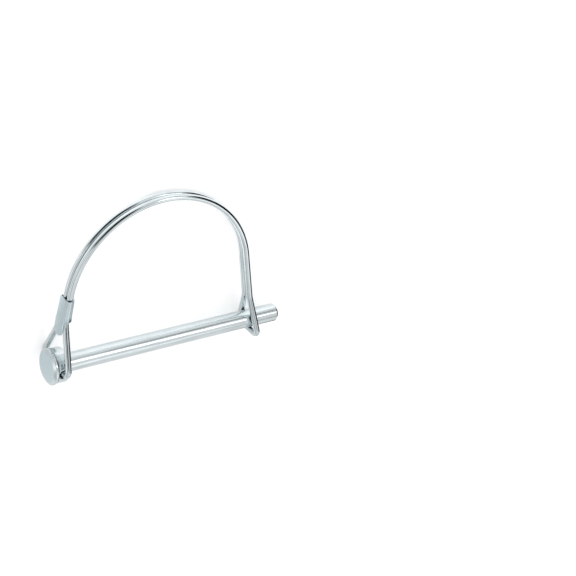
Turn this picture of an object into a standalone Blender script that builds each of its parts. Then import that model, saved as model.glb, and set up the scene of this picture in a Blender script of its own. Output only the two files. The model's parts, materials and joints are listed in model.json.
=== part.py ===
"""Wire lock pin: a headed pin with a spring wire bail that snaps round its tip.

It has three pieces: the turned pin, the bail bent from one length of spring wire, and the sheet
metal clip folded round the bail's two strands above the head.

Build frame, before the part is laid down: +X runs along the pin from the face of its head to its
tip, +Y points to the top of the bail, and +Z runs along the cross hole in the head.
"""

import math

import bmesh
import bpy
from mathutils import Matrix, Vector

MM = 0.001

# Pin
PIN_DIAMETER = 6.35 * MM
PIN_LENGTH = 88.7 * MM
TIP_CHAMFER = 0.65 * MM
TIP_CHAMFER_LENGTH = 0.8 * MM
HEAD_LENGTH = 5.9 * MM
FLANGE_DIAMETER = 12.3 * MM
FLANGE_THICKNESS = 1.4 * MM
FACE_CHAMFER = 1.15 * MM
FACE_CHAMFER_LENGTH = 0.95 * MM
GROOVE_DEPTH = 0.5 * MM
GROOVE_WIDTH = 0.4 * MM
GROOVE_ROUND_SHARE = 0.4
COLLAR_DIAMETER = 11.7 * MM
COLLAR_ROUND = 0.9 * MM
EDGE_ROUND = 0.2 * MM
CROSS_HOLE_PLAY = 0.92 * MM
CROSS_HOLE_EDGE_BREAK = 0.25 * MM

# Bail, bent from one wire
WIRE_DIAMETER = 2.13 * MM
WIRE_END_GAP = 0.8 * MM
WIRE_SEAT_CLEARANCE = 0.1 * MM
LEG_STANDOFF = 3.15 * MM
HEAD_BEND_RADIUS = 1.75 * MM
NECK_HEIGHT = 16.8 * MM
LEG_LEAN = 1.75 * MM
NECK_BEND_RADIUS = 10.0 * MM
STRAND_GAP_AT_CLIP = 0.25 * MM
STRAND_GAP_AT_TOP = 0.6 * MM
STRAND_GAP_AT_LOOP = 0.9 * MM
ARCH_HEIGHT = 54.4 * MM
ARCH_TOP_SHARE = 0.483
ARCH_HEAD_INSET = 1.15 * MM
ARCH_TIP_INSET = 3.0 * MM
LOOP_TOP_HEIGHT = 9.6 * MM
LOOP_TOP_FROM_TIP = 12.5 * MM
LOOP_FOOT_FROM_TIP = 10.15 * MM
LOOP_CLEARANCE = 0.1 * MM
LOOP_CORNER_RADIUS = 1.9 * MM
LOOP_TOP_BEND_RADIUS = 4.0 * MM

# Clip, folded from sheet round both strands
SHEET_THICKNESS = 0.4 * MM
CLIP_CLEARANCE = 0.1 * MM
CLIP_CORNER_RADIUS = 0.2 * MM
CLIP_ABOVE_NECK = 7.8 * MM
CLIP_BELOW_NECK = 0.3 * MM
CLIP_SLANT = 0.9 * MM
CLIP_SEAM_GAP = 0.3 * MM
CLIP_MOUTH_PLAY = 0.4 * MM
TONGUE_LENGTH = 4.7 * MM
TONGUE_ROUND = 1.9 * MM
TONGUE_ROUND_SHARE = 0.95

# How finely round shapes are divided
TURNED_STEPS = 64
EDGE_ARC_STEP = math.radians(22.5)
BEND_STEP = math.radians(12)
ARCH_STEP = math.radians(5)
CLIP_ROWS = 10
TONGUE_ROWS = 6
CLIP_COLUMNS = 6

# Places that follow from the sizes above
PIN_RADIUS = PIN_DIAMETER / 2
WIRE_RADIUS = WIRE_DIAMETER / 2
COLLAR_START = FLANGE_THICKNESS + GROOVE_WIDTH
CROSS_HOLE_X = (COLLAR_START + HEAD_LENGTH) / 2
CROSS_HOLE_DIAMETER = WIRE_DIAMETER + CROSS_HOLE_PLAY
HINGE_X = CROSS_HOLE_X - CROSS_HOLE_PLAY / 2 + WIRE_SEAT_CLEARANCE
NECK_X = HINGE_X + LEG_LEAN
LOOP_TOP_X = PIN_LENGTH - LOOP_TOP_FROM_TIP
LOOP_FOOT_X = PIN_LENGTH - LOOP_FOOT_FROM_TIP
ARCH_TOP_X = NECK_X + ARCH_TOP_SHARE * (LOOP_TOP_X - NECK_X)
ARCH_HEAD_RADIUS = ARCH_TOP_X - NECK_X - ARCH_HEAD_INSET
ARCH_TIP_RADIUS = LOOP_TOP_X - ARCH_TOP_X - ARCH_TIP_INSET


def clear_scene():
    for obj in list(bpy.data.objects):
        bpy.data.objects.remove(obj, do_unlink=True)


def new_collection(name):
    collection = bpy.data.collections.new(name)
    bpy.context.scene.collection.children.link(collection)
    return collection


def metal(name, colour, roughness):
    material = bpy.data.materials.new(name)
    material.use_nodes = True
    shader = material.node_tree.nodes["Principled BSDF"]
    shader.inputs["Base Color"].default_value = (*colour, 1)
    shader.inputs["Metallic"].default_value = 1
    shader.inputs["Roughness"].default_value = roughness
    return material


def add_object(name, data, collection, parent, material=None):
    obj = bpy.data.objects.new(name, data)
    collection.objects.link(obj)
    obj.parent = parent
    if material:
        obj.data.materials.append(material)
    return obj


def add_empty(name, collection, parent=None, matrix=None):
    empty = bpy.data.objects.new(name, None)
    collection.objects.link(empty)
    empty.parent = parent
    if matrix:
        empty.matrix_local = matrix
    return empty


def rounded(corners, radii, step):
    """Points along a path of straight lines whose inner corners are arcs of these radii."""
    points = [corners[0]]
    for before, corner, after, radius in zip(corners, corners[1:], corners[2:], radii):
        back = (before - corner).normalized()
        ahead = (after - corner).normalized()
        half = back.angle(ahead) / 2
        centre = corner + (back + ahead).normalized() * radius / math.sin(half)
        start = corner + back * radius / math.tan(half) - centre
        turn = math.pi - 2 * half
        axis = back.cross(ahead).normalized()
        steps = max(2, math.ceil(turn / step))
        for i in range(steps + 1):
            points.append(centre + Matrix.Rotation(-turn * i / steps, 3, axis) @ start)
    points.append(corners[-1])
    return points


def turned(name, profile, collection, parent, material=None):
    """A solid turned round its own Z from (radius, height) points that run down its outer side."""
    mesh = bpy.data.meshes.new(name)
    points = [(radius, 0, height) for radius, height in profile]
    edges = [(i, i + 1) for i in range(len(points) - 1)]
    mesh.from_pydata(points, edges, [])
    obj = add_object(name, mesh, collection, parent, material)
    screw = obj.modifiers.new("Turn", "SCREW")
    screw.steps = TURNED_STEPS
    screw.render_steps = TURNED_STEPS
    screw.use_merge_vertices = True
    screw.merge_threshold = 0.00001
    return obj


def softened(corners, radii):
    """A turned profile whose corners, given as (radius, height), are rounded."""
    path = rounded([Vector((radius, 0, height)) for radius, height in corners], radii, EDGE_ARC_STEP)
    return [(point.x, point.z) for point in path]


def pin_profile():
    """The pin's outer side, from the face of its head at height 0 down to its tip."""
    flange = FLANGE_DIAMETER / 2
    collar = COLLAR_DIAMETER / 2
    groove = collar - GROOVE_DEPTH
    corners = [
        (0, 0),
        (flange - FACE_CHAMFER, 0),
        (flange, -FACE_CHAMFER_LENGTH),
        (flange, -FLANGE_THICKNESS),
        (groove, -FLANGE_THICKNESS),
        (groove, -COLLAR_START),
        (collar, -COLLAR_START),
        (collar, -HEAD_LENGTH),
        (PIN_RADIUS, -HEAD_LENGTH),
        (PIN_RADIUS, TIP_CHAMFER_LENGTH - PIN_LENGTH),
        (PIN_RADIUS - TIP_CHAMFER, -PIN_LENGTH),
        (0, -PIN_LENGTH),
    ]
    edge = EDGE_ROUND
    groove_corner = GROOVE_WIDTH * GROOVE_ROUND_SHARE
    radii = [edge, edge, edge, groove_corner, groove_corner, edge, COLLAR_ROUND, edge, edge, edge]
    return softened(corners, radii)


def cross_hole_profile():
    """The bore for the wire, opened a little where it comes out of the collar's round side."""
    bore = CROSS_HOLE_DIAMETER / 2
    collar = COLLAR_DIAMETER / 2
    rim = math.sqrt(collar**2 - bore**2) - CROSS_HOLE_EDGE_BREAK
    flare = bore + collar - rim
    return [(0, collar), (flare, collar), (bore, rim), (bore, -rim), (flare, -collar), (0, -collar)]


def make_pin(parts, helpers, lie):
    material = metal("zinc_plated_pin", (0.70, 0.74, 0.75), 0.22)
    pin = turned("pin", pin_profile(), parts, lie, material)
    pin.rotation_euler.y = -math.pi / 2
    cutter = turned("cross_hole_cutter", cross_hole_profile(), helpers, lie)
    cutter.location.x = CROSS_HOLE_X
    cutter.hide_render = True
    cutter.display_type = "WIRE"
    hole = pin.modifiers.new("Cross hole", "BOOLEAN")
    hole.operation = "DIFFERENCE"
    hole.solver = "EXACT"
    hole.object = cutter
    return pin


def strand_offset(gap):
    """How far a strand's centre lies from the bail's middle plane."""
    return (WIRE_DIAMETER + gap) / 2


def eased(low, high, share):
    share = min(max(share, 0), 1)
    return low + (high - low) * share * share * (3 - 2 * share)


def arch_points(neck):
    """One strand over the arch, from where it leaves the neck to where it runs on to the loop.

    The arch is two arcs that meet at its top. Each is as wide as its side of the bail, less an inset
    that lets the strand lean in on its way up.
    """
    to_neck = neck.to_2d() - Vector((ARCH_TOP_X, ARCH_HEIGHT - ARCH_HEAD_RADIUS))
    to_loop = Vector((LOOP_TOP_X, LOOP_TOP_HEIGHT)) - Vector((ARCH_TOP_X, ARCH_HEIGHT - ARCH_TIP_RADIUS))
    first = math.atan2(to_neck.y, to_neck.x) % (2 * math.pi) - math.acos(ARCH_HEAD_RADIUS / to_neck.length)
    last = math.atan2(to_loop.y, to_loop.x) + math.acos(ARCH_TIP_RADIUS / to_loop.length)
    steps = math.ceil((first - last) / ARCH_STEP)
    quarter = math.pi / 2
    points = []
    for i in range(steps + 1):
        angle = first + (last - first) * i / steps
        if angle > quarter:
            radius = ARCH_HEAD_RADIUS
            gap = eased(STRAND_GAP_AT_CLIP, STRAND_GAP_AT_TOP, 2 * (first - angle) / quarter)
        else:
            radius = ARCH_TIP_RADIUS
            gap = eased(STRAND_GAP_AT_TOP, STRAND_GAP_AT_LOOP, (quarter - angle) / quarter)
        x = ARCH_TOP_X + radius * math.cos(angle)
        y = ARCH_HEIGHT - radius + radius * math.sin(angle)
        points.append(Vector((x, y, strand_offset(gap))))
    return points


def leg_points(neck, arch_foot):
    """One strand from its end in the cross hole, out of the head and up to the arch."""
    corners = [
        Vector((HINGE_X, 0, WIRE_END_GAP / 2)),
        Vector((HINGE_X, 0, COLLAR_DIAMETER / 2 + LEG_STANDOFF)),
        neck,
        arch_foot,
    ]
    return rounded(corners, [HEAD_BEND_RADIUS, NECK_BEND_RADIUS], BEND_STEP)


def loop_points(arch_end):
    """One strand from the end of the arch, down beside the pin and under it to the middle.

    The strand's side of the loop and its foot each pass the pin by the loop's clearance.
    """
    reach = PIN_RADIUS + LOOP_CLEARANCE + WIRE_RADIUS
    top = Vector((LOOP_TOP_X, LOOP_TOP_HEIGHT, strand_offset(STRAND_GAP_AT_LOOP)))
    slope = math.asin(reach / math.hypot(top.y, top.z)) - math.atan2(top.z, top.y)
    foot_z = top.z + (top.y + reach) * math.tan(slope)
    corners = [arch_end, top, Vector((LOOP_FOOT_X, -reach, foot_z)), Vector((LOOP_FOOT_X, -reach, 0))]
    return rounded(corners, [LOOP_TOP_BEND_RADIUS, LOOP_CORNER_RADIUS], BEND_STEP)


def neck_point():
    """Where one leg's line meets its strand's: the legs spread below it and lie side by side above."""
    return Vector((NECK_X, NECK_HEIGHT, strand_offset(STRAND_GAP_AT_CLIP)))


def strand_points():
    """Half of the bail's centre line, from its end in the head to the middle of the loop's foot."""
    neck = neck_point()
    arch = arch_points(neck)
    return leg_points(neck, arch[0]) + arch[1:-1] + loop_points(arch[-1])


def make_bail(strand, parts, pivot):
    other = [Vector((point.x, point.y, -point.z)) for point in reversed(strand[:-1])]
    path = strand + other
    curve = bpy.data.curves.new("wire_bail", "CURVE")
    curve.dimensions = "3D"
    curve.bevel_depth = WIRE_RADIUS
    curve.bevel_resolution = 4
    curve.use_fill_caps = True
    spline = curve.splines.new("POLY")
    spline.points.add(len(path) - 1)
    for spot, point in zip(spline.points, path):
        spot.co = (point.x - HINGE_X, point.y, point.z, 1)
    return add_object("wire_bail", curve, parts, pivot, metal("zinc_plated_wire", (0.68, 0.73, 0.75), 0.25))


def strand_at(strand, height):
    """Where a strand's centre is at this height, on its way up from the head to the arch."""
    for low, high in zip(strand, strand[1:]):
        if low.y < high.y and low.y <= height <= high.y:
            return low.lerp(high, (height - low.y) / (high.y - low.y))
    raise ValueError("the clip reaches past the bail's leg")


def fold_point(part, share, strand):
    """A place inside the folded sheet, level with a point of the strand.

    Part 0 is the outer wall, from its middle to its corner, 1 the corner, 2 the side wall, 3 the
    bend round the strand and 4 the inner wall, up to the seam. The share runs from 0 to 1 in each.
    """
    inside = WIRE_RADIUS + CLIP_CLEARANCE
    flat = strand.z + inside - CLIP_CORNER_RADIUS
    top = NECK_HEIGHT + CLIP_ABOVE_NECK
    play = CLIP_MOUTH_PLAY * (top - strand.y) / (CLIP_ABOVE_NECK + CLIP_BELOW_NECK)
    turn = share * math.pi / 2
    if part == 0:
        x, z = -inside, flat * share
    elif part == 1:
        x = -inside + CLIP_CORNER_RADIUS * (1 - math.cos(turn))
        z = flat + CLIP_CORNER_RADIUS * math.sin(turn)
    elif part == 2:
        x = (CLIP_CORNER_RADIUS - inside) * (1 - share) + play * share
        z = strand.z + inside
    elif part == 3:
        x = play + inside * math.sin(turn)
        z = strand.z + inside * math.cos(turn)
    else:
        x = play + inside
        z = strand.z + (CLIP_SEAM_GAP / 2 - strand.z) * share
    return Vector((strand.x + x, strand.y, z))


def clip_half(strand):
    """Columns of points down half of the clip's wrap, from the middle of its outer wall to its seam."""
    top = NECK_HEIGHT + CLIP_ABOVE_NECK
    places = [(part, i / CLIP_COLUMNS) for part in range(5) for i in range(CLIP_COLUMNS)] + [(4, 1)]
    columns = []
    for part, share in places:
        slant = CLIP_SLANT * min(max(part - 2 + share, 0), 2) / 2
        length = CLIP_ABOVE_NECK + CLIP_BELOW_NECK - slant
        heights = [top - length * i / CLIP_ROWS for i in range(CLIP_ROWS + 1)]
        columns.append([fold_point(part, share, strand_at(strand, height)) for height in heights])
    return columns


def tongue_half(wrap):
    """Columns of points down half of the tongue, which goes on below the clip's outer wall."""
    columns = []
    for i in range(CLIP_COLUMNS + 1):
        start = wrap[i][-1]
        share = i / CLIP_COLUMNS
        length = TONGUE_LENGTH - TONGUE_ROUND * (1 - math.sqrt(1 - (TONGUE_ROUND_SHARE * share) ** 2))
        lean = LEG_LEAN / NECK_HEIGHT
        drops = [length * row / TONGUE_ROWS for row in range(TONGUE_ROWS + 1)]
        columns.append([start - Vector((drop * lean, drop, 0)) for drop in drops])
    return columns


def add_sheet(mesh, columns):
    """Faces between neighbouring columns of points, and between their mirror images."""
    for hand in (1, -1):
        rails = [[mesh.verts.new((p.x - HINGE_X, p.y, hand * p.z)) for p in column] for column in columns]
        for left, right in zip(rails, rails[1:]):
            for corners in zip(left, left[1:], right[1:], right):
                mesh.faces.new(corners if hand == 1 else reversed(corners))


def make_clip(strand, parts, pivot):
    wrap = clip_half(strand)
    mesh = bmesh.new()
    add_sheet(mesh, wrap)
    add_sheet(mesh, tongue_half(wrap))
    bmesh.ops.remove_doubles(mesh, verts=mesh.verts, dist=0.001 * MM)
    data = bpy.data.meshes.new("wire_clip")
    mesh.to_mesh(data)
    mesh.free()
    clip = add_object("wire_clip", data, parts, pivot, metal("zinc_plated_sheet", (0.62, 0.68, 0.71), 0.35))
    sheet = clip.modifiers.new("Sheet", "SOLIDIFY")
    sheet.thickness = SHEET_THICKNESS
    sheet.offset = 1
    sheet.use_even_offset = True
    return clip


def lying_turn(strand):
    """The turn that lays the part on its side, on the three points of the bail that touch first.

    They are the bend at the head, the top of the arch and the lower corner of the loop.
    """
    under = [Vector((point.x, point.y, -point.z)) for point in strand]
    head = [point for point in under if point.x < ARCH_TOP_X and point.y < LOOP_TOP_HEIGHT]
    loop = [point for point in under if point.x > ARCH_TOP_X and point.y < LOOP_TOP_HEIGHT]
    arch = [point for point in under if point.y > ARCH_HEIGHT / 2]
    up = Vector((0, 0, 1))
    for _ in range(6):
        feet = [min(group, key=up.dot) for group in (head, loop, arch)]
        up = (feet[1] - feet[0]).cross(feet[2] - feet[0]).normalized()
    return up.rotation_difference(Vector((0, 0, 1))).to_matrix().to_4x4()


def set_down(lie, pieces):
    """Moves the part so that the middle of its footprint is the origin and its lowest point is at 0."""
    bpy.context.view_layer.update()
    graph = bpy.context.evaluated_depsgraph_get()
    spots = []
    for piece in pieces:
        shape = piece.evaluated_get(graph)
        mesh = shape.to_mesh()
        spots += [shape.matrix_world @ vertex.co for vertex in mesh.vertices]
        shape.to_mesh_clear()
    low = Vector([min(spot[axis] for spot in spots) for axis in range(3)])
    high = Vector([max(spot[axis] for spot in spots) for axis in range(3)])
    middle = (low + high) / 2
    lie.matrix_world = Matrix.Translation((-middle.x, -middle.y, -low.z)) @ lie.matrix_world


def main():
    clear_scene()
    parts = new_collection("wire_lock_pin")
    helpers = new_collection("cutters")
    strand = strand_points()
    lie = add_empty("lie", parts, matrix=lying_turn(strand))
    pivot = add_empty("bail_pivot", parts, lie, Matrix.Translation((HINGE_X, 0, 0)))
    pin = make_pin(parts, helpers, lie)
    bail = make_bail(strand, parts, pivot)
    clip = make_clip(strand, parts, pivot)
    set_down(lie, [pin, bail, clip])


main()
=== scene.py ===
"""Wire lock pin, dressed for its picture.

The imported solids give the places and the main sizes. This script makes the fine surface of each of
the three pieces over them, gives each piece its zinc finish, and sets up the studio round them.

Part axes: X runs along the pin from the face of its head to its tip, Y points to the top of the
bail, and Z runs along the cross hole in the head. Lengths are in metres.
"""

import json
import math

import bmesh
import bpy
from bpy.props import FloatProperty, FloatVectorProperty, IntProperty, PointerProperty
from mathutils import Matrix, Vector


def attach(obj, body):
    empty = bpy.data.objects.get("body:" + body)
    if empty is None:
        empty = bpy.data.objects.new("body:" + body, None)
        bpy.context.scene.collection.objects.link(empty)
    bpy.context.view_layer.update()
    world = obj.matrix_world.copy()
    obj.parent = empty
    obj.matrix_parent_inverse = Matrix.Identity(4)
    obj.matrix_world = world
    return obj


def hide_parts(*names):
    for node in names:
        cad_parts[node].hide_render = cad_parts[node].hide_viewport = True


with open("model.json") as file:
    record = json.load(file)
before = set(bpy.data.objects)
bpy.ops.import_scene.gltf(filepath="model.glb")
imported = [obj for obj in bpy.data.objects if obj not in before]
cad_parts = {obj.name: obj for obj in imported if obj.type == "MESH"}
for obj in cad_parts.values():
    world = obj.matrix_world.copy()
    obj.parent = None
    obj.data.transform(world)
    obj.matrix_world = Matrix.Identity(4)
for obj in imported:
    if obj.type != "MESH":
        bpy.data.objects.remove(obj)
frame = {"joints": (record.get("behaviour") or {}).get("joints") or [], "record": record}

bl_info = {
    "name": "Wire Lock Pin",
    "version": (1, 0, 0),
    "blender": (4, 5, 0),
    "location": "3D View > Sidebar > Lock Pin",
    "description": "Makes a zinc plated wire lock pin over its packed solids, and its studio",
    "category": "Object",
}

MM = 0.001
ORIGIN = Vector((0, 0, 0))
ALONG_PIN = Vector((1, 0, 0))
ALONG_HOLE = Vector((0, 0, 1))

# The photograph's camera, in the part's own axes, with its lens and sensor in millimetres
CAMERA_PLACE = Vector((-0.1966, 0.2741, 0.3671))
CAMERA_RIGHT = Vector((0.8193, 0.1199, 0.5607))
CAMERA_UP = Vector((0.1949, 0.8614, -0.4691))
CAMERA_BACK = Vector((-0.5392, 0.4936, 0.6823))
CAMERA_LENS = 95.66
CAMERA_SENSOR = 36

# The most that one step of a curve turns, and the longest stretch between two points
PROFILE_TURN = math.radians(9)
WIRE_TURN = math.radians(4)
ARCH_TURN = math.radians(1)
HEAD_STRETCH = 0.25 * MM
WIRE_STRETCH = 1.0 * MM

# Edges that turn more than this stay sharp, in degrees
PIN_SHARP_FROM = 32
WIRE_SHARP_FROM = 40
SHEET_SHARP_FROM = 50

# The radius in the groove's corners, as a share of the groove's width
GROOVE_ROUNDING = 0.4

# The clip's columns in each part of its fold, and its rows down the wrap and down the tongue
CLIP_COLUMNS = 10
CLIP_ROWS = 26
TONGUE_ROWS = 16

# Above 1, the clip's side walls stand out most beyond their middle. At 1, the tongue's end is half
# an ellipse, and below it there are small corners left
BULGE_SKEW = 1.6
TONGUE_FULLNESS = 0.95

# Points of the sheet that are nearer than this are one
SAME_POINT = 0.001 * MM

# How near other metal stands in a tight place, where shade is painted, and how open a place is where it
# counts as tight and where it no longer does
SHADE_REACH = 1.0 * MM
SHADE_OPENNESS = (0.3, 0.75)

# How dark the painted shade in a tight place is: on the flange, how much more so behind it, and on the
# wire
FLANGE_PAINTED_SHADE = 0.25
BEHIND_FLANGE_PAINTED_SHADE = 0.6
WIRE_PAINTED_SHADE = 0.58

# Where one finish of the turned pin goes over into the next, as distances past an edge
HEAD_FADE = (0, 0.1 * MM)
FACE_RIM_FADE = (-0.1 * MM, 0.35 * MM)
FACE_DEPTH_FADE = (0.1 * MM, 0.4 * MM)
BORE_RIM_FADE = (0.14 * MM, 0.3 * MM)
BORE_MOUTH_FADE = (-0.2 * MM, -0.06 * MM)
FLANGE_FADE = (0, 0.2 * MM)

# How much closer the turning marks stand on the face than on the head's side
FACE_MARKS = 1.37

# How deep the lines of each finish are
TURNED_DEPTH = 0.01 * MM
DRAWN_DEPTH = 0.014 * MM
PRESSED_DEPTH = 0.022 * MM

# The studio: how far the floor reaches each way, how far off the cards and lamps stand, and how
# high the felts lie
FLOOR_REACH = 2.5
CARD_DISTANCE = 0.9
LAMP_DISTANCE = 1.1
FELT_HEIGHT = 0.1 * MM

# The pool of light on the floor, which only the metal mirrors. It fades in over Y along the pin, and
# over X at its head edge, which slants
POOL_PIN_EDGE = (-36 * MM, 0 * MM)
POOL_HEAD_EDGE = (-46 * MM, -41 * MM)
POOL_SLANT = 0.22

BLACK = (0, 0, 0, 1)
WHITE = (1, 1, 1, 1)

# The Mix node's sockets for two colours, and for the colour that comes out
MIX_FIRST = 6
MIX_SECOND = 7
MIX_RESULT = 2


def mount(name):
    """The place and the outward direction of one of the part's flat faces."""
    found = next(entry for entry in frame["record"]["mounts"] if entry["name"] == name)
    return Vector(found["pos_m"]), Vector(found["axis"]).normalized()


def part_axes():
    """The matrix from the part's own axes, which start at the middle of the face, to the row's frame."""
    face, outward = mount("head_face")
    along = -outward
    across = Vector(frame["joints"][0]["axis"]).normalized()
    up = across.cross(along).normalized()
    matrix = Matrix((along, up, along.cross(up))).transposed().to_4x4()
    matrix.translation = face
    return matrix


PART = part_axes()
PIN_LENGTH = (mount("tip_face")[0] - mount("head_face")[0]).length
HEAD_LENGTH = (mount("head_shoulder")[0] - mount("head_face")[0]).dot(-mount("head_face")[1])
HINGE_X = (PART.inverted() @ Vector(frame["joints"][0]["pos_m"])).x


def length(label, description, size):
    """A length that can be changed."""
    return FloatProperty(
        name=label,
        description=description,
        default=size,
        min=0,
        unit="LENGTH",
        precision=5,
    )


def colour(label, description, value):
    """A colour that can be changed."""
    return FloatVectorProperty(
        name=label,
        description=description,
        default=value,
        min=0,
        max=1,
        subtype="COLOR",
    )


def share(label, description, value):
    """A share from 0 to 1 that can be changed."""
    return FloatProperty(
        name=label,
        description=description,
        default=value,
        min=0,
        max=1,
        subtype="FACTOR",
    )


class PinSizes(bpy.types.PropertyGroup):
    """The turned pin."""

    length: length("Length", "From the face of the head to the tip", PIN_LENGTH)
    diameter: length("Shank diameter", "The size that the pin is sold by", 6.35 * MM)
    tip_chamfer: length("Tip chamfer", "How far the tip's chamfer comes in", 0.65 * MM)
    tip_chamfer_length: length("Tip chamfer length", "How far the tip's chamfer runs along", 0.8 * MM)
    head_length: length("Head length", "From the face of the head to its shoulder", HEAD_LENGTH)
    flange_diameter: length("Flange diameter", "The widest part of the head", 12.3 * MM)
    flange_thickness: length("Flange thickness", "The flange, with its chamfer", 1.4 * MM)
    face_chamfer: length("Face chamfer", "How far the chamfer comes in on the face", 1.05 * MM)
    face_chamfer_length: length("Face chamfer length", "How far the chamfer runs along", 0.62 * MM)
    groove_depth: length("Groove depth", "The groove behind the flange", 0.5 * MM)
    groove_width: length("Groove width", "The groove behind the flange", 0.4 * MM)
    collar_diameter: length("Collar diameter", "The collar that the bail goes through", 11.7 * MM)
    collar_round: length("Collar edge", "The rounding of the collar's shoulder", 0.9 * MM)
    edge_round: length("Edge rounding", "The rounding of the smaller edges", 0.2 * MM)
    hole_play: length("Hole play", "How much wider the cross hole is than the wire", 0.92 * MM)
    hole_drop: length("Hole drop", "How far the cross hole lies below the wire in it", 0.36 * MM)
    hole_shift: length("Hole shift", "How far it lies from the wire towards the tip", 0.11 * MM)
    hole_edge_break: length("Hole edge", "How far the cross hole's rim is broken", 0.25 * MM)
    steps: IntProperty(name="Steps", description="Faces round the pin", default=256, min=32, max=512)


class BailSizes(bpy.types.PropertyGroup):
    """The bail, bent from one wire."""

    wire: length("Wire diameter", "The spring wire", 2.13 * MM)
    end_gap: length("End gap", "Between the wire's two ends, inside the cross hole", 0.8 * MM)
    leg_standoff: length("Leg standoff", "From the collar's side to the middle of a leg", 3.15 * MM)
    head_bend: length("Head bend", "The bend where a leg turns into the cross hole", 1.75 * MM)
    neck_height: length("Neck height", "Where the two legs come together", 16.8 * MM)
    leg_lean: length("Leg lean", "How far the legs lean to the tip, up to the neck", 1.75 * MM)
    neck_bend: length("Neck bend", "The bend where the legs come together", 10.0 * MM)
    gap_at_clip: length("Gap at the clip", "Between the two strands", 0.25 * MM)
    gap_at_top: length("Gap at the top", "Between the two strands", 0.6 * MM)
    gap_at_loop: length("Gap at the loop", "Between the two strands", 0.9 * MM)
    arch_height: length("Arch height", "From the pin's middle line to the wire's", 54.4 * MM)
    arch_top: share("Arch top", "Where the arch is highest, from the neck, 0, to the loop, 1", 0.483)
    arch_head_inset: length("Head side inset", "How far the strand leans in above the neck", 1.15 * MM)
    arch_tip_inset: length("Tip side inset", "How far the strand leans in above the loop", 3.0 * MM)
    loop_top_height: length("Loop top height", "Where the strands part above the pin", 9.6 * MM)
    loop_top_from_tip: length("Loop top from tip", "Where the strands part, back from the tip", 12.5 * MM)
    loop_foot_from_tip: length("Loop foot from tip", "Where the loop passes under the pin", 10.15 * MM)
    loop_clearance: length("Loop clearance", "Between the loop and the pin", 0.1 * MM)
    loop_corner: length("Loop corner", "The bends at the loop's foot", 1.9 * MM)
    loop_top_bend: length("Loop top bend", "The bends where the strands part", 4.0 * MM)
    sides: IntProperty(name="Sides", description="Faces round the wire", default=40, min=8, max=96)


class ClipSizes(bpy.types.PropertyGroup):
    """The sheet clip, folded round both strands."""

    thickness: length("Sheet thickness", "The steel that the clip is pressed from", 0.4 * MM)
    clearance: length("Clearance", "Between the sheet and the wire", 0.1 * MM)
    corner: length("Corner", "Inside the tight folds", 0.2 * MM)
    above_neck: length("Above the neck", "How far the wrap reaches up from the neck", 7.8 * MM)
    below_neck: length("Below the neck", "How far the wrap reaches down from the neck", 0.3 * MM)
    slant: length("Slant", "How much the wrap's lower edge rises to its seam", 0.9 * MM)
    side_bulge: length("Side bulge", "How far the side walls stand out", 0.16 * MM)
    seam_gap: length("Seam gap", "Between the folded edges", 0.3 * MM)
    mouth_play: length("Mouth play", "How much the wrap widens towards its lower edge", 0.4 * MM)
    tongue: length("Tongue", "How far the tongue hangs below the wrap", 4.7 * MM)
    tongue_round: length("Tongue end", "The rounding of the tongue's end", 1.9 * MM)
    edge_round: length("Sheared edge", "The rounding of the sheet's sheared edges", 0.07 * MM)


class ZincColours(bpy.types.PropertyGroup):
    """The plating, which is a little different on each piece."""

    pin: colour("Turned pin", "Bright plating on the turned steel", (0.82, 0.89, 0.91))
    face: colour("Head's face", "Duller plating on the face, which was cut across", (0.775, 0.905, 0.95))
    # The near-black bore colour is painted shade, inside the cross hole and in the tight places of the
    # pin and the wire
    bore: colour("Bore", "Inside the cross hole, where hardly any plating reaches", (0.05, 0.055, 0.06))
    wire: colour("Wire", "Bright plating on the drawn wire", (0.82, 0.88, 0.9))
    clip: colour("Clip", "Duller plating on the pressed sheet", (0.69, 0.805, 0.845))
    stain: colour("Stain", "The plating's darker clouds", (0.62, 0.69, 0.72))


class StudioSettings(bpy.types.PropertyGroup):
    """The studio."""

    floor: colour("Floor", "The pale floor", (0.9, 0.9, 0.9))
    room: share("Room", "The strength of the room's light from all round", 0.74)
    floor_lift: share("Floor lift", "What the floor adds towards white where it is seen", 0.44)
    floor_mirrored: share("Floor mirrored", "What the floor adds where the metal mirrors it", 0.08)
    floor_pool: share("Floor pool", "What it adds to that on the bail's side of the pin", 0.36)


class LockPinSettings(bpy.types.PropertyGroup):
    """Everything that can be changed."""

    pin: PointerProperty(type=PinSizes)
    bail: PointerProperty(type=BailSizes)
    clip: PointerProperty(type=ClipSizes)
    zinc: PointerProperty(type=ZincColours)
    studio: PointerProperty(type=StudioSettings)


class Value:
    """A socket of a material's nodes that takes part in sums."""

    def __init__(self, finish, socket):
        self.finish = finish
        self.socket = socket

    def sum(self, operation, first, second):
        """The outcome of one step of a sum, which is a Math node."""
        made = self.finish.node("ShaderNodeMath", {"operation": operation}, {0: first, 1: second})
        return Value(self.finish, made.outputs[0])

    def __add__(self, other):
        return self.sum("ADD", self, other)

    def __radd__(self, other):
        return self.sum("ADD", other, self)

    def __sub__(self, other):
        return self.sum("SUBTRACT", self, other)

    def __rsub__(self, other):
        return self.sum("SUBTRACT", other, self)

    def __mul__(self, other):
        return self.sum("MULTIPLY", self, other)

    def __rmul__(self, other):
        return self.sum("MULTIPLY", other, self)

    def __pow__(self, other):
        return self.sum("POWER", self, other)


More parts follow.
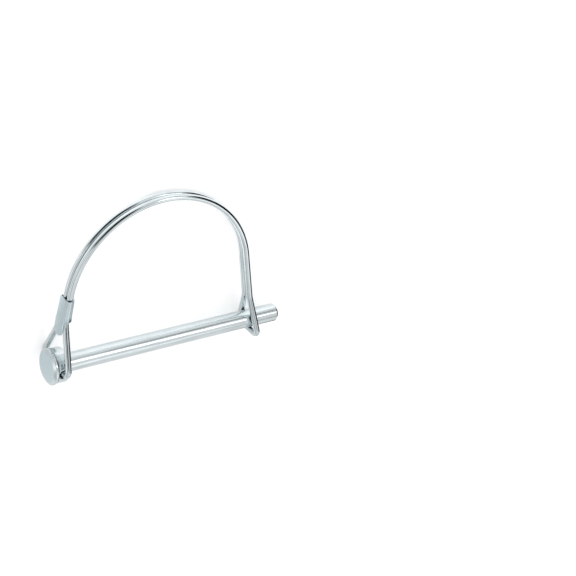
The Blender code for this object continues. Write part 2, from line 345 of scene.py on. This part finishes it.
class Finish:
    """A material under construction."""

    def __init__(self, name):
        self.material = bpy.data.materials.new(name)
        self.material.use_nodes = True
        self.tree = self.material.node_tree
        self.shader = self.tree.nodes["Principled BSDF"]

    def node(self, kind, settings, sockets):
        """A node whose settings are set first, and then the values or links of its sockets."""
        made = self.tree.nodes.new(kind)
        for name, value in settings.items():
            setattr(made, name, value)
        for name, value in sockets.items():
            self.put(value, made.inputs[name])
        return made

    def put(self, value, socket):
        """Links a value to a socket, or sets the socket to a plain number or colour."""
        if isinstance(value, Value):
            self.tree.links.new(value.socket, socket)
        else:
            socket.default_value = value

    def surface(self, **sockets):
        """Sets the shader's own sockets, given with _ for the spaces in their names."""
        for name, value in sockets.items():
            self.put(value, self.shader.inputs[name.replace("_", " ")])

    def kept(self, name):
        """A vector kept on the piece's mesh."""
        made = self.node("ShaderNodeAttribute", {"attribute_name": name}, {})
        return Value(self, made.outputs["Vector"])

    def own_place(self):
        """The place in the object's own axes."""
        return Value(self, self.node("ShaderNodeTexCoord", {}, {}).outputs["Object"])

    def axes(self, vector):
        """The three numbers of a vector."""
        made = self.node("ShaderNodeSeparateXYZ", {}, {0: vector})
        return [Value(self, output) for output in made.outputs]

    def stretched(self, vector, x, y, z):
        """A vector scaled along each axis. A small number there draws the noise out into lines."""
        made = self.node("ShaderNodeVectorMath", {"operation": "MULTIPLY"}, {0: vector, 1: (x, y, z)})
        return Value(self, made.outputs[0])

    def clouds(self, vector, scale, detail):
        """Soft noise, about 0.5 on average."""
        sockets = {"Vector": vector, "Scale": scale, "Detail": detail}
        return Value(self, self.node("ShaderNodeTexNoise", {}, sockets).outputs[0])

    def lines(self, place, scale, detail):
        """Noise along one number only, which gives lines."""
        sockets = {"W": place, "Scale": scale, "Detail": detail}
        made = self.node("ShaderNodeTexNoise", {"noise_dimensions": "1D"}, sockets)
        return Value(self, made.outputs[0])

    def between(self, value, low, high):
        """How far a value has gone from low to high, from 0 to 1."""
        sockets = {"Value": value, "From Min": low, "From Max": high}
        made = self.node("ShaderNodeMapRange", {"interpolation_type": "SMOOTHSTEP"}, sockets)
        return Value(self, made.outputs[0])

    def past(self, value, edge, fade):
        """How far a value is past an edge, from 0 to 1, between the fade's two distances from it."""
        return self.between(value, edge + fade[0], edge + fade[1])

    def tight(self):
        """Painted shade from an ambient occlusion node: 1 in a tight place, with other metal within
        reach, and 0 in the open.
        """
        made = self.node("ShaderNodeAmbientOcclusion", {"samples": 8}, {"Distance": SHADE_REACH})
        return 1 - self.between(Value(self, made.outputs["AO"]), *SHADE_OPENNESS)

    def mixed(self, amount, first, second):
        """One colour going over into another."""
        sockets = {"Factor": amount, MIX_FIRST: first, MIX_SECOND: second}
        made = self.node("ShaderNodeMix", {"data_type": "RGBA"}, sockets)
        return Value(self, made.outputs[MIX_RESULT])

    def relief(self, height, depth):
        """A normal from a height, where a height of 1 stands as high as the depth."""
        made = self.node("ShaderNodeBump", {}, {"Height": height, "Strength": 1.0, "Distance": depth})
        return Value(self, made.outputs[0])


def rgba(tone):
    """A colour with its fourth number, as sockets take it."""
    return (*tone, 1)


def turned_zinc(settings):
    """Bright plating, with the drawn bar's lengthwise lines and, on the head, turning marks, and painted
    shade in tight places and inside the cross hole.
    """
    finish = Finish("turned_zinc")
    colours, pin = settings.zinc, settings.pin
    place = finish.kept("turned")
    x, y, z = finish.axes(place)
    radius = (y * y + z * z) ** 0.5
    head = 1 - finish.past(x, pin.head_length, HEAD_FADE)
    marks = finish.lines(x + radius * FACE_MARKS, scale=5200, detail=3) * head
    cloud = finish.clouds(finish.stretched(place, 0.3, 1, 1), scale=300, detail=3)
    speck = finish.clouds(place, scale=2600, detail=2)
    broad_lines = finish.clouds(finish.stretched(place, 0.05, 1, 1), scale=1300, detail=3)
    fine_lines = finish.clouds(finish.stretched(place, 0.03, 1, 1), scale=3600, detail=2)
    stain = finish.between(cloud * 0.5 + fine_lines * 0.6, low=0.48, high=0.7)
    bright = finish.mixed(stain * 0.6, rgba(colours.pin), rgba(colours.stain))
    face_edge = pin.flange_diameter / 2 - pin.face_chamfer
    face = 1 - finish.past(radius, face_edge, FACE_RIM_FADE)
    face = face * (1 - finish.past(x, 0, FACE_DEPTH_FADE))
    plated = finish.mixed(face, bright, rgba(colours.face))
    # Inside the cross hole the colour goes to the near-black bore colour, which is painted shade
    hole = hole_middle(pin)
    from_hole = ((x - hole.x) ** 2 + (y - hole.y) ** 2) ** 0.5
    bore = 1 - finish.past(from_hole, (settings.bail.wire + pin.hole_play) / 2, BORE_RIM_FADE)
    bore = bore * (1 - finish.past(radius, pin.collar_diameter / 2, BORE_MOUTH_FADE))
    # Painted shade in tight places, stronger behind the flange
    behind = finish.past(x, pin.flange_thickness + pin.groove_width, FLANGE_FADE)
    tight = finish.tight() * (behind * BEHIND_FLANGE_PAINTED_SHADE + FLANGE_PAINTED_SHADE)
    painted_shade = tight + bore - tight * bore
    height = marks * 0.1 + speck * 0.08 + broad_lines * 1.2 + fine_lines * 0.45
    finish.surface(
        Base_Color=finish.mixed(painted_shade, plated, rgba(colours.bore)),
        Metallic=1.0 - bore,
        Roughness=0.14 + cloud * 0.08 + marks * 0.04 + face * 0.15 + bore * 0.4,
        Normal=finish.relief(height, TURNED_DEPTH),
    )
    return finish.material


def drawn_zinc(colours):
    """Bright plating over drawn wire, whose fine lines run along it, with painted shade where other metal
    lies close.
    """
    finish = Finish("drawn_zinc")
    straight = finish.kept("straight")
    draw_lines = finish.clouds(finish.stretched(straight, 1, 1, 0.008), scale=2200, detail=3)
    cloud = finish.clouds(finish.stretched(straight, 1, 1, 0.35), scale=420, detail=3)
    speck = finish.clouds(straight, scale=3200, detail=2)
    stain = finish.between(cloud * 0.4 + draw_lines * 0.8, low=0.52, high=0.76)
    bright = finish.mixed(stain, rgba(colours.wire), rgba(colours.stain))
    finish.surface(
        # Painted shade where the strands lie close to each other or to the pin
        Base_Color=finish.mixed(finish.tight() * WIRE_PAINTED_SHADE, bright, rgba(colours.bore)),
        Metallic=1.0,
        Roughness=0.05 + cloud * 0.05 + draw_lines * 0.03,
        Normal=finish.relief(draw_lines * 1.0 + speck * 0.03, DRAWN_DEPTH),
    )
    return finish.material


def pressed_zinc(colours):
    """Duller plating on sheet that was rolled and then folded in a press."""
    finish = Finish("pressed_zinc")
    flat = finish.kept("unfolded")
    roll_lines = finish.clouds(finish.stretched(flat, 1, 0.03, 1), scale=2400, detail=3)
    cloud = finish.clouds(flat, scale=500, detail=3)
    speck = finish.clouds(flat, scale=4200, detail=2)
    stain = finish.between(cloud * 0.7 + roll_lines * 0.5, low=0.5, high=0.8)
    finish.surface(
        Base_Color=finish.mixed(stain * 0.5, rgba(colours.clip), rgba(colours.stain)),
        Metallic=1.0,
        Roughness=0.14 + cloud * 0.08 + roll_lines * 0.05,
        Normal=finish.relief(roll_lines * 1.0 + speck * 0.04, PRESSED_DEPTH),
    )
    return finish.material


def rounded(corners, radii, step):
    """Points along a path of straight lines whose inner corners are arcs of these radii."""
    points = [corners[0]]
    for before, corner, after, radius in zip(corners, corners[1:], corners[2:], radii):
        back = (before - corner).normalized()
        ahead = (after - corner).normalized()
        half = back.angle(ahead) / 2
        centre = corner + (back + ahead).normalized() * radius / math.sin(half)
        start = corner + back * radius / math.tan(half) - centre
        turn = math.pi - 2 * half
        axis = back.cross(ahead).normalized()
        steps = max(2, math.ceil(turn / step))
        for i in range(steps + 1):
            points.append(centre + Matrix.Rotation(-turn * i / steps, 3, axis) @ start)
    points.append(corners[-1])
    return points


def split(points, longest):
    """The same path with no stretch longer than this."""
    finer = [points[0]]
    for start, end in zip(points, points[1:]):
        steps = max(1, math.ceil((end - start).length / longest))
        finer += [start.lerp(end, (i + 1) / steps) for i in range(steps)]
    return finer


def linked(name, data):
    """A new object of this data, in the scene."""
    thing = bpy.data.objects.new(name, data)
    bpy.context.scene.collection.objects.link(thing)
    return thing


def from_mesh(name, mesh, material):
    """An object from a bmesh, which is freed."""
    data = bpy.data.meshes.new(name)
    mesh.to_mesh(data)
    mesh.free()
    data.materials.append(material)
    return linked(name, data)


def new_piece(name, mesh, material):
    """A piece from a bmesh in the part's own axes, which are turned to the row's frame here."""
    piece = from_mesh(name, mesh, material)
    piece.data.transform(PART)
    return piece


def make_real(piece):
    """Puts the result of a piece's modifiers into its mesh."""
    bpy.context.view_layer.update()
    graph = bpy.context.evaluated_depsgraph_get()
    data = bpy.data.meshes.new_from_object(piece.evaluated_get(graph))
    piece.modifiers.clear()
    piece.data = data


def shade_round(piece, sharp_from):
    """Smooth shading with the edges above this angle kept sharp."""
    piece.data.shade_smooth()
    piece.data.set_sharp_from_angle(angle=math.radians(sharp_from))


def lathe(profile, axis, steps, middle=ORIGIN):
    """A solid turned round an axis through this point, from (place along it, radius) points."""
    mesh = bmesh.new()
    turned = mesh.verts.layers.float_vector.new("turned")
    turns = [Matrix.Rotation(2 * math.pi * i / steps, 3, axis) @ Vector((0, 1, 0)) for i in range(steps)]
    rings = []
    for along, radius in profile:
        if radius:
            rings.append([mesh.verts.new(middle + axis * along + side * radius) for side in turns])
        else:
            rings.append([mesh.verts.new(middle + axis * along)] * steps)
    for vert in mesh.verts:
        vert[turned] = vert.co
    for ring, after in zip(rings, rings[1:]):
        for i in range(steps):
            j = (i + 1) % steps
            # Where a ring is a single point, the face is left with three corners
            corners = dict.fromkeys((ring[i], after[i], after[j], ring[j]))
            mesh.faces.new(corners)
    bmesh.ops.recalc_face_normals(mesh, faces=mesh.faces)
    return mesh


def pin_profile(pin):
    """The pin's outer side as (place, radius), from the face of its head to its tip."""
    flange = pin.flange_diameter / 2
    collar = pin.collar_diameter / 2
    groove = collar - pin.groove_depth
    collar_start = pin.flange_thickness + pin.groove_width
    shank = pin.diameter / 2
    corners = [
        (0, 0),
        (0, flange - pin.face_chamfer),
        (pin.face_chamfer_length, flange),
        (pin.flange_thickness, flange),
        (pin.flange_thickness, groove),
        (collar_start, groove),
        (collar_start, collar),
        (pin.head_length, collar),
        (pin.head_length, shank),
        (pin.length - pin.tip_chamfer_length, shank),
        (pin.length, shank - pin.tip_chamfer),
        (pin.length, 0),
    ]
    edge = pin.edge_round
    groove_corner = pin.groove_width * GROOVE_ROUNDING
    radii = [edge, edge, edge, groove_corner, groove_corner, edge, pin.collar_round, edge, edge, edge]
    path = rounded([Vector((x, y, 0)) for x, y in corners], radii, PROFILE_TURN)
    head = [point for point in path if point.x <= pin.head_length]
    rest = [point for point in path if point.x > pin.head_length]
    return [(point.x, point.y) for point in split(head, HEAD_STRETCH) + rest]


def hole_middle(pin):
    """The middle of the cross hole, which lets the wire rest against the side that faces the bail."""
    return Vector((HINGE_X + pin.hole_shift, -pin.hole_drop, 0))


def hole_profile(pin, wire):
    """The cross hole, opened a little where it comes out of the collar's round side."""
    bore = (wire + pin.hole_play) / 2
    collar = pin.collar_diameter / 2
    rim = math.sqrt(collar**2 - bore**2) - pin.hole_edge_break
    flare = bore + collar - rim
    half = [(rim, bore), (collar, flare), (collar, 0)]
    return [(-z, r) for z, r in reversed(half)] + half


def make_turned_pin(settings, material):
    """The pin, turned in one and then cross drilled."""
    pin = settings.pin
    piece = new_piece("turned_pin", lathe(pin_profile(pin), ALONG_PIN, pin.steps), material)
    profile = hole_profile(pin, settings.bail.wire)
    cutter_mesh = lathe(profile, ALONG_HOLE, pin.steps // 2, hole_middle(pin))
    cutter = new_piece("cross_hole_cutter", cutter_mesh, material)
    hole = piece.modifiers.new("Cross hole", "BOOLEAN")
    hole.operation = "DIFFERENCE"
    hole.solver = "EXACT"
    hole.object = cutter
    make_real(piece)
    bpy.data.objects.remove(cutter)
    shade_round(piece, PIN_SHARP_FROM)
    return piece


def strand_offset(bail, gap):
    """How far a strand's centre lies from the bail's middle plane."""
    return (bail.wire + gap) / 2


def eased(low, high, part):
    """From low to high as the part goes from 0 to 1, slowly at both ends."""
    part = min(max(part, 0), 1)
    return low + (high - low) * part * part * (3 - 2 * part)


def neck_point(bail):
    """Where one leg's line meets its strand's."""
    return Vector((HINGE_X + bail.leg_lean, bail.neck_height, strand_offset(bail, bail.gap_at_clip)))


def arch_points(bail, pin_length, neck):
    """One strand over the arch, from where it leaves the neck to where it runs on to the loop.

    The arch is two arcs that meet at its top. Each is as wide as its side of the bail, less its inset.
    """
    loop_top = Vector((pin_length - bail.loop_top_from_tip, bail.loop_top_height))
    top_x = neck.x + bail.arch_top * (loop_top.x - neck.x)
    head_radius = top_x - neck.x - bail.arch_head_inset
    tip_radius = loop_top.x - top_x - bail.arch_tip_inset
    to_neck = neck.to_2d() - Vector((top_x, bail.arch_height - head_radius))
    to_loop = loop_top - Vector((top_x, bail.arch_height - tip_radius))
    first = math.atan2(to_neck.y, to_neck.x) % (2 * math.pi) - math.acos(head_radius / to_neck.length)
    last = math.atan2(to_loop.y, to_loop.x) + math.acos(tip_radius / to_loop.length)
    steps = math.ceil((first - last) / ARCH_TURN)
    quarter = math.pi / 2
    points = []
    for i in range(steps + 1):
        angle = first + (last - first) * i / steps
        if angle > quarter:
            radius = head_radius
            gap = eased(bail.gap_at_clip, bail.gap_at_top, 2 * (first - angle) / quarter)
        else:
            radius = tip_radius
            gap = eased(bail.gap_at_top, bail.gap_at_loop, (quarter - angle) / quarter)
        x = top_x + radius * math.cos(angle)
        y = bail.arch_height - radius + radius * math.sin(angle)
        points.append(Vector((x, y, strand_offset(bail, gap))))
    return points


def leg_points(bail, collar, neck, arch_foot):
    """One strand from its end in the cross hole, out of the head and up to the arch."""
    corners = [
        Vector((HINGE_X, 0, bail.end_gap / 2)),
        Vector((HINGE_X, 0, collar / 2 + bail.leg_standoff)),
        neck,
        arch_foot,
    ]
    return rounded(corners, [bail.head_bend, bail.neck_bend], WIRE_TURN)


def loop_points(bail, pin, arch_end):
    """One strand from the end of the arch, down beside the pin and under it to the middle."""
    reach = pin.diameter / 2 + bail.loop_clearance + bail.wire / 2
    top_x = pin.length - bail.loop_top_from_tip
    top = Vector((top_x, bail.loop_top_height, strand_offset(bail, bail.gap_at_loop)))
    slope = math.asin(reach / math.hypot(top.y, top.z)) - math.atan2(top.z, top.y)
    foot_x = pin.length - bail.loop_foot_from_tip
    foot_z = top.z + (top.y + reach) * math.tan(slope)
    corners = [arch_end, top, Vector((foot_x, -reach, foot_z)), Vector((foot_x, -reach, 0))]
    return rounded(corners, [bail.loop_top_bend, bail.loop_corner], WIRE_TURN)


def strand_points(settings):
    """Half of the bail's centre line, from its end in the head to the middle of the loop's foot."""
    bail = settings.bail
    neck = neck_point(bail)
    arch = arch_points(bail, settings.pin.length, neck)
    leg = leg_points(bail, settings.pin.collar_diameter, neck, arch[0])
    return split(leg + arch[1:-1] + loop_points(bail, settings.pin, arch[-1]), WIRE_STRETCH)


def drawn_wire(path, radius, sides):
    """A round wire along a path. Each point keeps its place on the wire before it was bent."""
    mesh = bmesh.new()
    straight = mesh.verts.layers.float_vector.new("straight")
    side = Vector((0, 1, 0))
    run = 0.0
    rings = []
    for i, point in enumerate(path):
        before = path[max(i - 1, 0)]
        after = path[min(i + 1, len(path) - 1)]
        ahead = (after - before).normalized()
        side = (side - ahead * side.dot(ahead)).normalized()
        other = ahead.cross(side)
        run += (point - before).length
        ring = []
        for k in range(sides):
            turn = 2 * math.pi * k / sides
            vert = mesh.verts.new(point + (side * math.cos(turn) + other * math.sin(turn)) * radius)
            vert[straight] = Vector((radius * math.cos(turn), radius * math.sin(turn), run))
            ring.append(vert)
        rings.append(ring)
    for ring, after in zip(rings, rings[1:]):
        for k in range(sides):
            j = (k + 1) % sides
            mesh.faces.new((ring[k], ring[j], after[j], after[k]))
    mesh.faces.new(reversed(rings[0]))
    mesh.faces.new(rings[-1])
    return mesh


def make_wire_bail(settings, material):
    """The bail, whose second strand mirrors the first."""
    strand = strand_points(settings)
    other = [Vector((point.x, point.y, -point.z)) for point in reversed(strand[:-1])]
    mesh = drawn_wire(strand + other, settings.bail.wire / 2, settings.bail.sides)
    piece = new_piece("spring_wire", mesh, material)
    shade_round(piece, WIRE_SHARP_FROM)
    return piece


def strand_at(strand, height):
    """Where a strand's centre is at this height, on its way up from the head to the arch."""
    for low, high in zip(strand, strand[1:]):
        if low.y < high.y and low.y <= height <= high.y:
            return low.lerp(high, (height - low.y) / (high.y - low.y))
    raise ValueError("the clip reaches past the bail's leg")


def fold_point(settings, part, along, strand):
    """A place inside the folded sheet, level with a point of the strand.

    Part 0 is the outer wall, from its middle to its corner, 1 the corner, 2 the side wall, 3 the
    bend round the strand and 4 the inner wall, up to the seam. Each runs from 0 to 1 along the fold.
    """
    clip, bail = settings.clip, settings.bail
    inside = bail.wire / 2 + clip.clearance
    flat = strand.z + inside - clip.corner
    top = bail.neck_height + clip.above_neck
    play = clip.mouth_play * (top - strand.y) / (clip.above_neck + clip.below_neck)
    turn = along * math.pi / 2
    if part == 0:
        x, z = -inside, flat * along
    elif part == 1:
        x = -inside + clip.corner * (1 - math.cos(turn))
        z = flat + clip.corner * math.sin(turn)
    elif part == 2:
        x = (clip.corner - inside) * (1 - along) + play * along
        z = strand.z + inside + clip.side_bulge * math.sin(math.pi * along**BULGE_SKEW)
    elif part == 3:
        x = play + inside * math.sin(turn)
        z = strand.z + inside * math.cos(turn)
    else:
        x = play + inside
        z = strand.z + (clip.seam_gap / 2 - strand.z) * along
    return Vector((strand.x + x, strand.y, z))


def clip_half(settings, strand):
    """Columns of points down half of the clip's wrap, from the middle of its outer wall to its seam."""
    clip = settings.clip
    top = settings.bail.neck_height + clip.above_neck
    places = [(part, i / CLIP_COLUMNS) for part in range(5) for i in range(CLIP_COLUMNS)] + [(4, 1)]
    columns = []
    for part, along in places:
        slant = clip.slant * min(max(part - 2 + along, 0), 2) / 2
        drop = clip.above_neck + clip.below_neck - slant
        heights = [top - drop * i / CLIP_ROWS for i in range(CLIP_ROWS + 1)]
        centres = [strand_at(strand, height) for height in heights]
        columns.append([fold_point(settings, part, along, centre) for centre in centres])
    return columns


def tongue_half(settings, wrap):
    """Columns of points down half of the tongue, which goes on below the clip's outer wall."""
    clip, bail = settings.clip, settings.bail
    lean = bail.leg_lean / bail.neck_height
    columns = []
    for i in range(CLIP_COLUMNS + 1):
        start = wrap[i][-1]
        out = TONGUE_FULLNESS * (i / CLIP_COLUMNS)
        longest = clip.tongue - clip.tongue_round * (1 - math.sqrt(1 - out**2))
        drops = [longest * row / TONGUE_ROWS for row in range(TONGUE_ROWS + 1)]
        columns.append([start - Vector((drop * lean, drop, 0)) for drop in drops])
    return columns


def add_sheet(mesh, unfolded, columns):
    """Faces between neighbouring columns of points, and between their mirror images."""
    for hand in (1, -1):
        across = 0.0
        rails = []
        for before, column in zip([columns[0]] + columns, columns):
            across += (column[0] - before[0]).length
            rail = []
            for point in column:
                vert = mesh.verts.new((point.x, point.y, hand * point.z))
                vert[unfolded] = Vector((hand * across, point.y, 0))
                rail.append(vert)
            rails.append(rail)
        for left, right in zip(rails, rails[1:]):
            for corners in zip(left, left[1:], right[1:], right):
                mesh.faces.new(corners if hand == 1 else reversed(corners))


def make_wire_clip(settings, material):
    """The clip: its wrap and its tongue, thickened outwards into sheet."""
    wrap = clip_half(settings, strand_points(settings))
    mesh = bmesh.new()
    unfolded = mesh.verts.layers.float_vector.new("unfolded")
    add_sheet(mesh, unfolded, wrap)
    add_sheet(mesh, unfolded, tongue_half(settings, wrap))
    bmesh.ops.remove_doubles(mesh, verts=mesh.verts, dist=SAME_POINT)
    piece = new_piece("folded_clip", mesh, material)
    sheet = piece.modifiers.new("Sheet", "SOLIDIFY")
    sheet.thickness = settings.clip.thickness
    sheet.offset = 1
    sheet.use_even_offset = True
    edges = piece.modifiers.new("Sheared edges", "BEVEL")
    edges.width = settings.clip.edge_round
    edges.segments = 3
    edges.limit_method = "ANGLE"
    edges.angle_limit = math.radians(SHEET_SHARP_FROM)
    make_real(piece)
    shade_round(piece, SHEET_SHARP_FROM)
    return piece


def make_camera():
    """A camera where the photograph's stood."""
    data = bpy.data.cameras.new("photo_camera")
    data.lens = CAMERA_LENS
    data.sensor_width = CAMERA_SENSOR
    data.clip_start = 0.01
    data.clip_end = 20
    camera = linked("photo_camera", data)
    turn = Matrix((CAMERA_RIGHT, CAMERA_UP, CAMERA_BACK)).transposed().to_4x4()
    camera.matrix_world = PART @ Matrix.Translation(CAMERA_PLACE) @ turn
    bpy.context.scene.camera = camera


def pale_floor(studio):
    """A pale floor that keeps the part's shadow, and that adds light where it is seen or mirrored."""
    finish = Finish("pale_floor")
    path = finish.node("ShaderNodeLightPath", {}, {})
    rays = ("Is Camera Ray", "Is Transmission Ray", "Is Glossy Ray")
    camera, through, mirrored = (Value(finish, path.outputs[ray]) for ray in rays)
    x, y, _ = finish.axes(finish.own_place())
    pool = finish.between(y, *POOL_PIN_EDGE) * finish.between(x - y * POOL_SLANT, *POOL_HEAD_EDGE)
    pool = pool * studio.floor_pool + studio.floor_mirrored
    lift = (camera + through) * studio.floor_lift + mirrored * pool
    finish.surface(
        Base_Color=rgba(studio.floor),
        Roughness=1.0,
        Specular_IOR_Level=0.0,
        Emission_Color=finish.mixed(lift, BLACK, WHITE),
        Emission_Strength=1.0,
    )
    return finish.material


def staged(name, mesh, material):
    """Something of the studio's, from a bmesh."""
    thing = from_mesh(name, mesh, material)
    return thing


def flat_square(reach):
    """A level square that reaches this far each way from its middle."""
    mesh = bmesh.new()
    bmesh.ops.create_grid(mesh, x_segments=1, y_segments=1, size=reach)
    return mesh


def towards(azimuth, elevation):
    """A direction by its degrees round from +X and up from the floor."""
    turn, rise = math.radians(azimuth), math.radians(elevation)
    return Vector((math.cos(turn) * math.cos(rise), math.sin(turn) * math.cos(rise), math.sin(rise)))


def face_part(thing, aim, distance):
    """Puts something at this distance in the direction of its aim, square on to the part."""
    away = towards(*aim)
    thing.location = away * distance
    thing.rotation_euler = away.to_track_quat("Z", "Y").to_euler()


def half_widths(covers, distance):
    """Half of the width and of the height of what covers these angles, in degrees, from this far."""
    return [distance * math.tan(math.radians(angle / 2)) for angle in covers]


def dark_felt(name, depth, soft_from):
    """Felt that takes light out of the metal's reflections, and that thins out towards its edge."""
    finish = Finish(name)
    x, y, _ = finish.axes(finish.own_place())
    out = (x * x + y * y) ** 0.5
    cover = (1.0 - finish.between(out, soft_from, 1.0)) * depth
    clear = finish.node("ShaderNodeBsdfTransparent", {}, {})
    black = finish.node("ShaderNodeEmission", {}, {"Color": BLACK})
    ends = {0: cover, 1: Value(finish, clear.outputs[0]), 2: Value(finish, black.outputs[0])}
    mixed = finish.node("ShaderNodeMixShader", {}, ends)
    finish.tree.links.new(mixed.outputs[0], finish.tree.nodes["Material Output"].inputs["Surface"])
    return finish.material


def make_felt(name, depth, soft_from):
    """Felt that only the metal sees. The depth is how much it covers, up to where it turns soft."""
    felt = staged(name, flat_square(1.0), dark_felt(name, depth, soft_from))
    felt.visible_camera = False
    felt.visible_diffuse = False
    felt.visible_shadow = False
    return felt


def make_dark_card(name, aim, covers, depth, soft_from):
    """A card of felt. It is aimed by azimuth and elevation, and covers so many degrees each way."""
    card = make_felt(name, depth, soft_from)
    face_part(card, aim, CARD_DISTANCE)
    card.scale = half_widths(covers, CARD_DISTANCE) + [1]


def make_floor_felt(name, middle, half_size, depth, soft_from):
    """Felt on the floor."""
    felt = make_felt(name, depth, soft_from)
    felt.location = (*middle, FELT_HEIGHT)
    felt.scale = (*half_size, 1)


def make_lamp(name, aim, covers, brightness):
    """A soft lamp, aimed like a card. A brightness of 1 is as bright as white."""
    data = bpy.data.lights.new(name, "AREA")
    data.shape = "RECTANGLE"
    data.size, data.size_y = (2 * half for half in half_widths(covers, LAMP_DISTANCE))
    data.energy = brightness * math.pi * data.size * data.size_y
    face_part(linked(name, data), aim, LAMP_DISTANCE)


def make_room(strength):
    """White light from all round."""
    world = bpy.data.worlds.new("room")
    world.use_nodes = True
    sky = world.node_tree.nodes["Background"]
    sky.inputs["Color"].default_value = WHITE
    sky.inputs["Strength"].default_value = strength
    bpy.context.scene.world = world


def make_studio(settings):
    """The camera, the floor, the room's light, and the cards, felts and lamps round the part."""
    make_camera()
    staged("floor", flat_square(FLOOR_REACH), pale_floor(settings.studio))
    make_room(settings.studio.room)
    make_dark_card("camera_side_card", aim=(111, 44), covers=(50, 54), depth=1.0, soft_from=0.9)
    make_dark_card("camera_side_low_card", aim=(142, 21), covers=(24, 42), depth=0.6, soft_from=0.4)
    make_dark_card("tip_side_card", aim=(4, 15), covers=(84, 70), depth=1.0, soft_from=0.6)
    make_dark_card("tip_side_low_card", aim=(15, 0), covers=(44, 24), depth=0.4, soft_from=0.3)
    make_dark_card("head_side_strip", aim=(178, 36), covers=(70, 15), depth=0.7, soft_from=0.5)
    make_dark_card("tip_side_flag", aim=(-22, 41), covers=(34, 18), depth=0.6, soft_from=0.5)
    make_dark_card("head_side_card", aim=(-140, 12), covers=(60, 36), depth=0.35, soft_from=0.4)
    make_dark_card("lamp_side_card", aim=(50.5, 25), covers=(15, 15), depth=0.75, soft_from=0.6)
    make_dark_card("overhead_card", aim=(90, 82), covers=(60, 44), depth=0.4, soft_from=0.3)
    make_floor_felt(
        "tip_side_floor_felt",
        middle=(0.2, -0.05),
        half_size=(0.15, 0.14),
        depth=0.95,
        soft_from=0.92,
    )
    make_floor_felt(
        "head_side_floor_felt",
        middle=(-0.085, -0.012),
        half_size=(0.045, 0.05),
        depth=0.15,
        soft_from=0.85,
    )
    make_lamp("soft_lamp", aim=(38, 48), covers=(18, 12), brightness=1.9)
    make_lamp("back_lamp", aim=(-46, 53), covers=(34, 15), brightness=0.35)
    make_lamp("head_side_low_lamp", aim=(175, 5), covers=(36, 10), brightness=0.5)
    make_lamp("head_side_high_lamp", aim=(170, 70), covers=(30, 14), brightness=0.2)
    bpy.context.scene.view_settings.view_transform = "Standard"


def settings_of(context):
    """The settings kept on the scene."""
    return context.scene.lock_pin


class PinOperator(bpy.types.Operator):
    """Makes the turned pin with its cross hole"""

    bl_idname = "lock_pin.turned_pin"
    bl_label = "Turned Pin"

    def execute(self, context):
        settings = settings_of(context)
        piece = make_turned_pin(settings, turned_zinc(settings))
        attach(piece, "pin")
        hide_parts("pin")
        return {"FINISHED"}


class BailOperator(bpy.types.Operator):
    """Makes the bail of bent spring wire"""

    bl_idname = "lock_pin.wire_bail"
    bl_label = "Wire Bail"

    def execute(self, context):
        settings = settings_of(context)
        piece = make_wire_bail(settings, drawn_zinc(settings.zinc))
        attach(piece, "bail")
        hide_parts("wire_bail")
        return {"FINISHED"}


class ClipOperator(bpy.types.Operator):
    """Makes the sheet clip folded round the bail's strands"""

    bl_idname = "lock_pin.wire_clip"
    bl_label = "Wire Clip"

    def execute(self, context):
        settings = settings_of(context)
        piece = make_wire_clip(settings, pressed_zinc(settings.zinc))
        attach(piece, "bail")
        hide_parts("wire_clip")
        return {"FINISHED"}


class StudioOperator(bpy.types.Operator):
    """Makes the floor, the lamps, the room and the camera"""

    bl_idname = "lock_pin.studio"
    bl_label = "Studio"

    def execute(self, context):
        make_studio(settings_of(context))
        return {"FINISHED"}


class LockPinPanel(bpy.types.Panel):
    """The buttons that make each piece and the studio"""

    bl_idname = "VIEW3D_PT_lock_pin"
    bl_label = "Wire Lock Pin"
    bl_space_type = "VIEW_3D"
    bl_region_type = "UI"
    bl_category = "Lock Pin"

    def draw(self, context):
        for operator in OPERATORS:
            self.layout.operator(operator.bl_idname)


PROPERTY_GROUPS = (PinSizes, BailSizes, ClipSizes, ZincColours, StudioSettings, LockPinSettings)
OPERATORS = (PinOperator, BailOperator, ClipOperator, StudioOperator)
CLASSES = PROPERTY_GROUPS + OPERATORS + (LockPinPanel,)


def register():
    for cls in CLASSES:
        bpy.utils.register_class(cls)
    bpy.types.Scene.lock_pin = PointerProperty(type=LockPinSettings)


def unregister():
    del bpy.types.Scene.lock_pin
    for cls in reversed(CLASSES):
        bpy.utils.unregister_class(cls)


def main():
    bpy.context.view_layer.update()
    register()
    bpy.ops.lock_pin.turned_pin()
    bpy.ops.lock_pin.wire_bail()
    bpy.ops.lock_pin.wire_clip()
    bpy.ops.lock_pin.studio()


if __name__ == "__main__":
    main()
